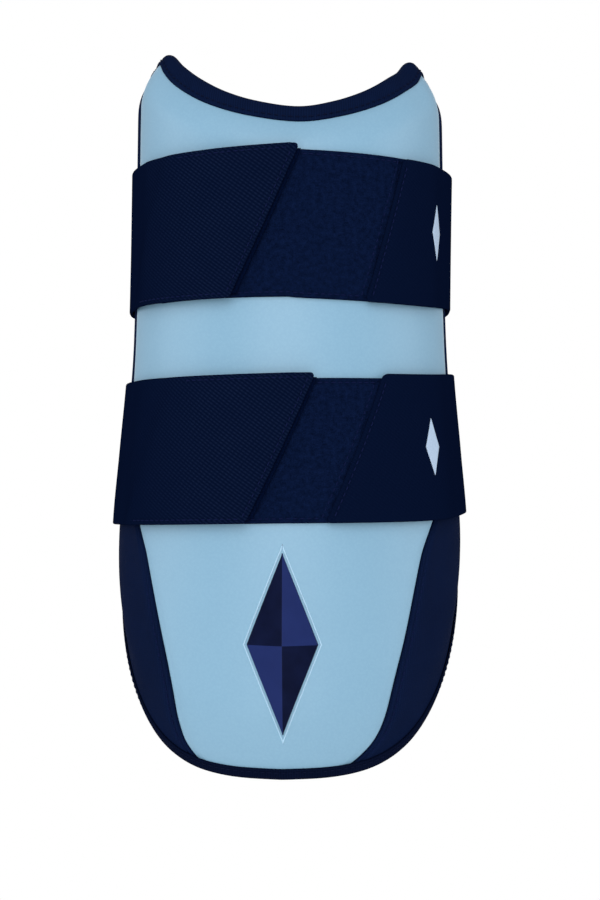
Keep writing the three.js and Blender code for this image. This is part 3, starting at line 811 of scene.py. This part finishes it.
class GUARD_OT_side_covers(bpy.types.Operator):
    """Navy side covers with a topstitched fold along their seams, swollen between the straps"""

    bl_idname = "guard.side_covers"
    bl_label = "Side covers"

    def execute(self, context):
        sizes, colours = settings(context)
        thickness = sizes.cover_thickness
        finish = finish_of(knitted_polyester, colours.side_cover)
        thread = finish_of(spun_polyester_thread, colours.thread)
        topstitch, thread_depth, roll, least = 2.3, 0.62, 1.5, 0.3
        start, ramp_start, ramp, swelling, edge_hold, strap_hold = 0.7, 4, 8, 1.3, 4.2, 2
        columns = shares(length=52, roll=1.1, hem=5, fine=0.5, step=2.6)
        rows = shares(length=200, roll=1.1, hem=5, fine=1.1, step=3.2)
        for side, seam, hand in (("left", seam_left, -1), ("right", seam_right, 1)):

            def angle_at(share, z):
                ends = seam(z) + hand * SEAM_GAP, hand * REAR_ANGLE
                return lerp(*ends[::hand], share)

            angle, z = body_grid(columns, rows, angle_at)
            back = wall(angle, z, thickness)
            sides = from_sides(back)
            from_seam = sides[0] if hand > 0 else sides[1]
            from_edge = np.minimum.reduce(sides)
            fold = groove(from_seam - topstitch, depth=0.75, width=0.7)
            # The cover starts a little in and swells to its place.
            inset = start * np.clip((from_edge - ramp_start) / ramp, 0, 1)
            deep = np.minimum(fold + inset, thickness - least)
            front = wall(angle, z, lerp(thickness, deep, rolled(from_edge, roll)))
            name = f"{side}_side_cover"
            piece = place(name, closed_cloth(front, back), finish, [f"side_panel_{side}"])
            from_strap = np.min([np.abs(z - strap["z"]) for strap in STRAPS.values()], axis=0)
            held = (from_edge <= edge_hold) | (from_strap < sizes.strap_width / 2 + strap_hold)
            swell(piece, np.concatenate([held.ravel(), np.ones(held[1:-1, 1:-1].size, bool)]), swelling)
            piece.modifiers.new("round", "SUBSURF").render_levels = 1
            row = body_grid(
                np.zeros(1), np.linspace(*SEAM_ROW, 240),
                lambda share, z: seam(z) + hand * (SEAM_GAP + topstitch / ARC),
            )
            angle, z = row[0][:, 0], row[1][:, 0]
            path = wall(angle, z, thread_depth)
            sew(f"{side}_seam", [(path, wall(angle, z, -1) - path)], sizes, thread)
        return {"FINISHED"}


def neck_outline():
    """Upper rim from the left rear corner to the right one, by length round the arm and height."""
    angle = -REAR_ANGLE * np.cos(np.linspace(0, np.pi, 500))
    return np.stack([angle * ARC, upper_rim(angle)], axis=-1)


def edge_outline():
    """Down the right rear edge, along the lower rim and up the left rear edge, with its ends under the neck
    tape."""
    neck = neck_outline()
    from_left = along(neck, 0)
    left_lap, right_lap = neck[from_left < TAPE_LAP], neck[from_left > from_left[-1] - TAPE_LAP]
    angle = np.linspace(REAR_ANGLE, -REAR_ANGLE, 500)
    rear = np.linspace(0, 1, 120)
    runs = []
    for hand in (1, -1):
        height = lerp(lower_rim(hand * REAR_ANGLE), upper_rim(hand * REAR_ANGLE), rear)
        runs.append(np.stack([np.full(len(rear), hand * REAR_ANGLE * ARC), height], axis=-1))
    rim = np.stack([angle * ARC, lower_rim(angle)], axis=-1)
    return np.concatenate([right_lap[:-1], runs[0][:0:-1], rim, runs[1][1:], left_lap[1:]])


def tape_run(outline):
    """Path of a tape's fold, in even steps with soft corners, and the direction from it over the sleeve."""
    path = even_steps(outline, TAPE_STEP)
    window = np.hanning(9)
    columns = [np.pad(column, len(window) // 2, mode="reflect", reflect_type="odd") for column in path.T]
    path = np.stack([np.convolve(column, window / window.sum(), "valid") for column in columns], axis=-1)
    run = unit(np.gradient(path, axis=0))
    return path, np.stack([run[:, 1], -run[:, 0]], axis=-1)


class GUARD_OT_bindings(bpy.types.Operator):
    """Tapes folded over the upper rim and over the rear and lower edges, with their stitches"""

    bl_idname = "guard.bindings"
    bl_label = "Bindings"

    def execute(self, context):
        sizes, colours = settings(context)
        tape, foam = sizes.tape_thickness, sizes.foam_thickness
        thread = finish_of(spun_polyester_thread, colours.tape_thread, variant="_of_tapes")
        nose = np.linspace(0, np.pi, 13)[:, None]
        bend = np.concatenate([0 * LEG_STEPS[:, None], nose, np.pi + 0 * LEG_STEPS[:, None]])
        roll, sunk, least_reach, uneven, ripple_height, ripple_width = 0.5, 0.2, 0.3, 0.2, 0.02, 1
        for name, node, outline, row_in in (
            ("neck_tape", "neck_binding", neck_outline(), 1.3),
            ("edge_tape", "edge_binding", edge_outline(), 1.1),
        ):
            fold, inwards = tape_run(outline)
            travelled = along(fold, 0)
            from_end = np.minimum(travelled, travelled[-1] - travelled)
            out_reach, lap = np.full(len(fold), EDGE_REACH), np.zeros(len(fold))
            in_reach = np.full(len(fold), INNER_REACH)
            if name == "neck_tape":
                out_reach = read(NECK_REACH, np.abs(fold[:, 0] / ARC - NECK_TURN))
                past, ramp = 2.5, 2
                over = np.clip((TAPE_LAP + past - from_end) / ramp, 0, 1)
                lap = (tape + TAPE_SPACE["in"]) * over
            outer = out_reach * (1 - LEG_STEPS[:, None] / LEG_SPAN)
            inner = in_reach - LEG_STEPS[::-1, None]
            reach = np.concatenate([outer, 0 * nose + 0 * out_reach, inner])

            def on_sleeve(inward):
                """Angle, height and depth of the lining at a distance in from the fold."""
                spot = fold + inwards * inward[..., None]
                angle, z = spot[..., 0] / ARC, spot[..., 1]
                return angle, z, foam_inside(angle, z, foam) + TAPE_SPACE["in"]

            def section(proud):
                """Grid of the tape's points, across it and along its run, that stand proud of the edge."""
                angle, z, deep = on_sleeve(reach - (TAPE_SPACE["fold"] + proud) * np.sin(bend))
                middle, half = (deep - TAPE_SPACE["out"]) / 2, (deep + TAPE_SPACE["out"]) / 2 + proud
                return wall(angle, z, middle - half * np.cos(bend))

            far = np.full((len(nose), len(fold)), 9.0)
            from_leg = np.concatenate([out_reach - outer, far, in_reach - inner])
            full = np.minimum(rolled(from_leg, roll), rolled(from_end, roll))
            beat = np.cos(2 * np.pi * travelled / sizes.stitch_pitch)
            pinch = groove(from_leg - row_in, depth=0.3, width=0.45) * (1 - uneven + uneven * beat)
            ripple = ripple_height * beat * (from_leg < ripple_width)
            front = section(lap + np.maximum((tape - pinch + ripple) * full, 0))
            back = section(lap + np.zeros(reach.shape))
            # The edge tape's darker colour is painted shade.
            finish = finish_of(grosgrain_tape, getattr(colours, name), variant="_of_" + name)
            piece = place(name, closed_cloth(front, back), finish, [node])
            proud = lap + tape - sunk
            angle, z, _ = on_sleeve(np.maximum(out_reach - row_in, least_reach))
            out = wall(angle, z, 0.0) - wall(angle, z, 1.0)
            rows = [(wall(angle, z, -(TAPE_SPACE["out"] + proud)), out)]
            angle, z, deep = on_sleeve(in_reach - row_in)
            rows.append((wall(angle, z, deep + proud), wall(angle, z, 1.0) - wall(angle, z, 0.0)))
            stitches = sew(name, rows, sizes, thread)
        return {"FINISHED"}


def straps(sizes):
    """Names of the straps, and their rows with the width of the webbing."""
    return [(label, {**row, "width": sizes.strap_width}) for label, row in STRAPS.items()]


def free_end_share(angle):
    """From 0 to 1 over the last stretch of a strap, which runs on past 360 degrees."""
    return np.clip((angle - FREE_STRETCH["start"]) / FREE_STRETCH["turn"], 0, 1) ** 2


def strap_place(strap, angle, height, out):
    """Point at an angle and a height from the middle of a strap, at a distance out from the sleeve."""
    turn = np.radians(angle)
    right = np.maximum(np.sin(turn), 0)
    level = 2 * height / strap["width"]  # from -1 at the lower edge to 1 at the upper one
    above, below = np.maximum(level, 0), np.maximum(-level, 0)
    lie = strap["tilt"] * np.sin(turn) - strap["droop"] * (1 - np.cos(turn)) - strap["sink"] * np.sqrt(right)
    flare = strap["flare"] * (level + 1) / 2 * right**4
    tuck = right**8 * (strap["hitch"] + strap["tuck"] * below)
    rise = strap["rise"] * above + strap["heel"] * below
    z = strap["z"] + height + lie + tuck + rise * free_end_share(angle)
    point = wall(angle, z, -(out + flare), curled=False)
    point[..., 2] = z
    return point


def strap_flat(strap, angle, height):
    """Places of a strap's points in the flat webbing, from the far corner of its last end."""
    around = np.linspace(angle.min(), angle.max(), 800)
    travelled = along(strap_place(strap, around, 0 * around, STAND_OFF[0][1]), 0)
    return np.stack([np.interp(angle, around, travelled - travelled[-1]), height + 0 * angle], axis=-1)


def strap_end(strap, end, height):
    """Angle of a strap's slanted end at a height from its middle. The free end lies a full turn on."""
    return lerp(*strap[end], height / strap["width"] + 0.5) + (360 if end == "free" else 0)


def corner_cut(strap, height):
    """Angle that a rounded corner draws an end back, at a height from the middle of the strap."""
    over = np.clip(CORNER_RADIUS - (strap["width"] / 2 - np.abs(height)), 0, CORNER_RADIUS)
    return (CORNER_RADIUS - np.sqrt(CORNER_RADIUS**2 - over**2)) / ARC


def stand_off(angle):
    return read(STAND_OFF, np.abs((angle + 180) % 360 - 180))


def over_hooks(angle, to_free, sizes):
    """Space under a strap with the hook patch and the lift of its free end, at a distance from that end."""
    ramp = np.clip((HOOK_LENGTH + HOOK_RAMP["start"] - to_free) / HOOK_RAMP["length"], 0, 1)
    lift = sizes.strap_lift * np.clip(1 - to_free / LIFT_LENGTH, 0, 1) ** 2
    return stand_off(angle) + sizes.hook_thickness * ramp * ramp * (3 - 2 * ramp) + lift


def sewn_press(to_sewn):
    """From 1 at the sewn end of a strap to 0 where its seam no longer presses it."""
    return np.clip(1 - to_sewn / SEWN_REACH, 0, 1) ** 2


def strap_row(strap, angle, height, out):
    """Path of a row of stitches along a strap, with the direction out of the strap."""
    path = strap_place(strap, angle, height, out)
    return path, strap_place(strap, angle, height, out + 5) - path


class GUARD_OT_loop_pads(bpy.types.Operator):
    """Brushed loop pads under the strap ends, with the stitches that hold them"""

    bl_idname = "guard.loop_pads"
    bl_label = "Loop pads"

    def execute(self, context):
        sizes, colours = settings(context)
        thick = sizes.loop_thickness
        finish = finish_of(brushed_loop_pile, colours.loop)
        thread = finish_of(spun_polyester_thread, colours.thread)
        random = np.random.default_rng(5)
        roll, pile_height, thread_depth, crease = 0.8, 0.09, 0.38, 0.1
        columns = shares(length=96, roll=roll, hem=4, fine=0.6, step=1.0)
        for label, strap in straps(sizes):
            loop_z, extra = strap["loop"]
            width = sizes.loop_width + extra
            height = spacing(width, roll=roll, hem=4, fine=0.5, step=1.0)[:, None] - width / 2 + loop_z
            sewn_end = strap_end(strap, "sewn", height)
            angle = lerp(LOOP_LEFT, sewn_end + LOOP_UNDERLAP, columns[None, :])
            height = height + 0 * angle
            base = strap_place(strap, angle, height, LOOP_SPACE)
            sides = from_sides(base)
            to_long_edge = np.minimum(*sides[2:])
            to_sewn = (angle - sewn_end) * ARC
            pile = random.normal(0, 1, angle.shape)
            pile = (pile + np.roll(pile, 1, 0) + np.roll(pile, 1, 1) + np.roll(pile, (1, 1), (0, 1))) / 4
            drawn = groove(to_long_edge - EDGE_ROW, depth=0.45, width=0.6)
            drawn = drawn + groove(to_sewn + SEWN_ROW, depth=0.3, width=0.6)
            drawn = drawn + groove(to_sewn + crease, depth=0.9, width=0.35)
            top = (thick - drawn + pile_height * pile) * rolled(np.minimum.reduce(sides), roll)
            front = strap_place(strap, angle, height, LOOP_SPACE + np.maximum(top, 0))
            name = f"{label}_loop"
            flat = strap_flat(strap, angle, height)
            cloth = closed_cloth(front, base, flat)
            piece = place(name, cloth, finish, [f"{label}_loop_pad"])
            runs = []
            left_margin, sewn_margin, end_margin = 4, 2.4, 1.5
            for edge in (-1, 1):
                level = np.full(200, edge * (width / 2 - EDGE_ROW) + loop_z)
                end = strap_end(strap, "sewn", level[0]) - sewn_margin / ARC
                runs.append((np.linspace(LOOP_LEFT + left_margin, end, len(level)), level))
            level = np.linspace(end_margin - width / 2, width / 2 - end_margin, 120) + loop_z
            runs.append((strap_end(strap, "sewn", level) - SEWN_ROW / ARC, level))
            rows = [strap_row(strap, *run, LOOP_SPACE + thick - thread_depth) for run in runs]
            stitches = sew(name, rows, sizes, thread)
        return {"FINISHED"}


class GUARD_OT_straps(bpy.types.Operator):
    """Elastic straps from their sewn ends round the back to their free ends, with their stitches"""

    bl_idname = "guard.straps"
    bl_label = "Straps"

    def execute(self, context):
        sizes, colours = settings(context)
        width, thick = sizes.strap_width, sizes.strap_thickness
        finish = finish_of(twill_elastic, colours.elastic, colours.rib)
        thread = finish_of(spun_polyester_thread, colours.thread)
        roll, least_half, thread_depth, end_margin, side_margin, hook_fade = 0.7, 0.3, 0.33, 2, 3, 3
        across = spacing(width, roll=roll, hem=4, fine=0.45, step=1.7) - width / 2
        columns = shares(length=330, roll=roll, hem=5, fine=0.5, step=1.7)
        for label, strap in straps(sizes):
            slope = math.cos(math.atan2((strap["free"][1] - strap["free"][0]) * ARC, width))

            def from_ends(angle, height):
                """Distances from the free and the sewn end, square to the slant."""
                to_free = (strap_end(strap, "free", height) - angle) * ARC * slope
                return to_free, (angle - strap_end(strap, "sewn", height)) * ARC * slope

            height = across[:, None] + 0 * columns[None, :]
            cut = corner_cut(strap, height)
            first, last = strap_end(strap, "sewn", height) + cut, strap_end(strap, "free", height) - cut
            angle = lerp(first, last, columns[None, :])
            to_free, to_sewn = from_ends(angle, height)
            to_long_edge = width / 2 - np.abs(height)
            edge = np.minimum(to_long_edge, np.minimum((last - angle), (angle - first)) * ARC)
            hooked = np.clip((HOOK_LENGTH - to_free) / hook_fade, 0, 1)
            drawn = np.maximum.reduce([
                groove(to_free - EDGE_ROW, depth=0.4, width=0.55),
                groove(to_long_edge - EDGE_ROW, depth=0.35, width=0.55) * hooked,
                groove(to_sewn - SEWN_ROW, depth=0.45, width=0.6),
            ])
            press = sewn_press(to_sewn)
            half = thick * (1 - SEWN_SQUEEZE * press) / 2
            middle = over_hooks(angle, to_free, sizes) - SEWN_SINK * press + half
            half = half * rolled(edge, roll)
            front = strap_place(strap, angle, height, middle + half - drawn * (half > least_half))
            back = strap_place(strap, angle, height, middle - half)
            name = f"{label}_elastic"
            flat = strap_flat(strap, angle, height)
            cloth = closed_cloth(front, back, flat)
            piece = place(name, cloth, finish, [f"{label}_strap"])
            level = np.linspace(end_margin - width / 2, width / 2 - end_margin, 160)
            runs = [
                (strap_end(strap, "free", level) - EDGE_ROW / ARC / slope, level),
                (strap_end(strap, "sewn", level) + SEWN_ROW / ARC / slope, level),
            ]
            for side in (-1, 1):
                level = np.full(160, side * (width / 2 - EDGE_ROW))
                end = strap_end(strap, "free", level[0])
                first, last = end - HOOK_LENGTH / ARC, end - side_margin / ARC
                runs.append((np.linspace(first, last, len(level)), level))
            rows = []
            for run in runs:
                to_free, to_sewn = from_ends(*run)
                sunk = (SEWN_SINK + SEWN_SQUEEZE * thick) * sewn_press(to_sewn)
                out = over_hooks(run[0], to_free, sizes) + thick - thread_depth - sunk
                rows.append(strap_row(strap, *run, out))
            stitches = sew(name, rows, sizes, thread)
        return {"FINISHED"}


class GUARD_OT_hook_patches(bpy.types.Operator):
    """Hook patches under the free ends, which hold the straps to the loop pads"""

    bl_idname = "guard.hook_patches"
    bl_label = "Hook patches"

    def execute(self, context):
        sizes, colours = settings(context)
        finish = finish_of(moulded_nylon_hooks, colours.hook)
        # The patch reaches 1.2 mm past the free end, so its near-black shows as a dark band: partly the hook
        # tape's own edge, partly standing in for the shadow beside the free end.
        shadow_strip, past_side, roll, space, share = 1.2, 1.6, 0.4, 0.06, 0.95
        width = sizes.strap_width - 2 * past_side
        rows = spacing(width, roll=roll, hem=1, fine=0.3, step=1.6) - width / 2
        columns = spacing(HOOK_LENGTH, roll=roll, hem=1, fine=0.3, step=1.6)
        height, from_start = np.meshgrid(rows, columns, indexing="ij")
        from_last = from_start[:, ::-1]
        edge = np.minimum.reduce([width / 2 - np.abs(height), from_start, from_last])
        for label, strap in straps(sizes):
            angle = strap_end(strap, "free", height) + (shadow_strip - from_last) / ARC
            top = over_hooks(angle, np.maximum(from_last - shadow_strip, 0), sizes) - space
            half = share * sizes.hook_thickness / 2
            middle, half = top - half, half * rolled(edge, roll)
            front = strap_place(strap, angle, height, middle + half)
            back = strap_place(strap, angle, height, middle - half)
            flat = strap_flat(strap, angle, height)
            piece = place(f"{label}_hooks", closed_cloth(front, back, flat), finish)
        return {"FINISHED"}


def lozenge(half_width, half_height, columns, rows):
    """Grid over a lozenge: places across and up from its middle."""
    across, up = np.meshgrid(np.linspace(-1, 1, columns), np.linspace(-1, 1, rows))
    narrow = np.maximum(1 - np.abs(up), 0.02)
    return across * narrow * half_width, up * half_height, across, up


class GUARD_OT_badge(bpy.types.Operator):
    """Faceted lozenge on the front cover, in a thin pale outline"""

    bl_idname = "guard.badge"
    bl_label = "Badge"

    def execute(self, context):
        sizes, colours = settings(context)
        half_width, half_height = sizes.badge_width / 2, sizes.badge_height / 2

        def on_cover(x, y, out):
            return wall(BADGE_PLACE["angle"] + x / ARC, BADGE_PLACE["z"] + y, -out)

        x, y, across, up = lozenge(half_width, half_height, columns=61, rows=141)
        # The facets rise from a thin edge to a long ridge.
        edge = (1 - np.abs(across)) * half_width * (1 - np.abs(up))
        top = BADGE_RISE["edge"] * rolled(edge, BADGE_RISE["roll"]) + BADGE_RISE["ridge"] * edge / half_width
        base = on_cover(x, y, BADGE_RISE["space"])
        front = on_cover(x, y, BADGE_RISE["space"] + np.where(edge <= 0, 0, top))
        badge = closed_cloth(front, base, np.stack([x, y], axis=-1))
        place("lozenge_badge", badge, finish_of(moulded_urethane, colours.badge), ["front_badge"])
        # The outline runs round the lozenge from its upper corner, at even distances from its sides.
        grow = half_height / half_width
        share = np.linspace(0, 4, 241)
        corner = np.array([(0, 1), (1, 0), (0, -1), (-1, 0), (0, 1)], float)
        k = np.minimum(share.astype(int), 3)
        around = lerp(corner[k], corner[k + 1], (share - k)[:, None])
        lines = []
        for offset in np.linspace(OUTLINE["gap"], OUTLINE["gap"] + OUTLINE["width"], len(OUTLINE_RISE)):
            wide = half_width + offset * math.hypot(1, 1 / grow)
            tall = half_height + offset * math.hypot(1, grow)
            lines.append(around * (wide, tall))
        x, y = np.moveaxis(np.stack(lines), -1, 0)
        proud = OUTLINE_RISE[:, None] * np.ones(len(share))
        proud[:, [0, -1]] = 0
        film = closed_cloth(on_cover(x, y, OUTLINE["space"] + proud), on_cover(x, y, -OUTLINE["sunk"]))
        place("badge_outline", film, finish_of(transfer_film, colours.outline, variant="_outline"))
        return {"FINISHED"}


class GUARD_OT_strap_marks(bpy.types.Operator):
    """Small plain lozenges of film on the sewn side of both straps"""

    bl_idname = "guard.strap_marks"
    bl_label = "Strap marks"

    def execute(self, context):
        sizes, colours = settings(context)
        finish = finish_of(transfer_film, colours.film)
        x, y, across, up = lozenge(MARK["half_width"], MARK["half_height"], columns=17, rows=37)
        edge = np.minimum(1 - np.abs(across), 1 - np.abs(up))
        for label, strap in straps(sizes):
            angle, height = strap["mark"][0] + x / ARC, strap["mark"][1] + y
            face = stand_off(angle) + sizes.strap_thickness + MARK["space"]
            front = strap_place(strap, angle, height, face + MARK["rise"] * rolled(edge, MARK["roll"]))
            back = strap_place(strap, angle, height, face)
            place(f"{label}_mark", closed_cloth(front, back), finish)
        return {"FINISHED"}


class GUARD_OT_stage(bpy.types.Operator):
    """Pale floor, white surround, soft lights and the camera"""

    bl_idname = "guard.stage"
    bl_label = "Stage"

    def execute(self, context):
        scene = context.scene
        look = scene.guard_stage
        lens = bpy.data.cameras.new("camera")
        lens.sensor_width = 36
        lens.lens = look.focal_length
        lens.shift_x = look.frame_shift
        lens.clip_start = 0.01
        camera = bpy.data.objects.new("camera", lens)
        camera.location = (0, -look.camera_distance, 0)
        camera.rotation_euler = (math.pi / 2, 0, 0)
        scene.collection.objects.link(camera)
        scene.camera = camera
        world = bpy.data.worlds.new("white_surround")
        world.use_nodes = True
        tree = world.node_tree
        seen = add(tree, "LightPath").outputs["Is Camera Ray"]
        strength = add(tree, "MapRange", {"Value": seen, "To Min": look.surround, "To Max": look.sky})
        feed(tree, tree.nodes["Background"], {"Color": linear("#ffffff"), "Strength": strength})
        scene.world = world
        scene.view_settings.view_transform = "Standard"
        for name, spot, size, power, share in LIGHTS:
            lamp = bpy.data.lights.new(name, "AREA")
            lamp.size = size
            lamp.energy = share * getattr(look, power)
            light = bpy.data.objects.new(name, lamp)
            light.location = spot
            light.rotation_euler = (-Vector(spot)).to_track_quat("-Z", "Y").to_euler()
            scene.collection.objects.link(light)
        disc = bmesh.new()
        bmesh.ops.create_circle(disc, cap_ends=True, segments=96, radius=FLOOR_RADIUS)
        mesh = bpy.data.meshes.new("floor")
        disc.to_mesh(mesh)
        disc.free()
        mesh.materials.append(finish_of(painted_floor, scene.guard_colours.floor))
        floor = bpy.data.objects.new("floor", mesh)
        floor.location.z = -look.floor_drop
        scene.collection.objects.link(floor)
        return {"FINISHED"}


OPERATORS = (
    GUARD_OT_stage,
    GUARD_OT_foam_body,
    GUARD_OT_front_cover,
    GUARD_OT_side_covers,
    GUARD_OT_bindings,
    GUARD_OT_loop_pads,
    GUARD_OT_straps,
    GUARD_OT_hook_patches,
    GUARD_OT_badge,
    GUARD_OT_strap_marks,
)


class GUARD_PT_sidebar(bpy.types.Panel):
    """Steps and settings of the elbow guard"""

    bl_idname = "GUARD_PT_sidebar"
    bl_label = "Elbow Guard"
    bl_space_type = "VIEW_3D"
    bl_region_type = "UI"
    bl_category = "Guard"

    def draw(self, context):
        for operator in OPERATORS:
            self.layout.operator(operator.bl_idname)
        scene = context.scene
        for group in (scene.guard_sizes, scene.guard_colours, scene.guard_stage):
            box = self.layout.box()
            for name in group.__annotations__:
                box.prop(group, name)


CLASSES = (GuardSizes, GuardColours, GuardStage, *OPERATORS, GUARD_PT_sidebar)


def register():
    for each in CLASSES:
        bpy.utils.register_class(each)
    bpy.types.Scene.guard_sizes = PointerProperty(type=GuardSizes)
    bpy.types.Scene.guard_colours = PointerProperty(type=GuardColours)
    bpy.types.Scene.guard_stage = PointerProperty(type=GuardStage)


def unregister():
    del bpy.types.Scene.guard_stage
    del bpy.types.Scene.guard_colours
    del bpy.types.Scene.guard_sizes
    for each in reversed(CLASSES):
        bpy.utils.unregister_class(each)


def main():
    register()
    for operator in OPERATORS:
        group, name = operator.bl_idname.split(".")
        getattr(getattr(bpy.ops, group), name)()


if __name__ == "__main__":
    main()
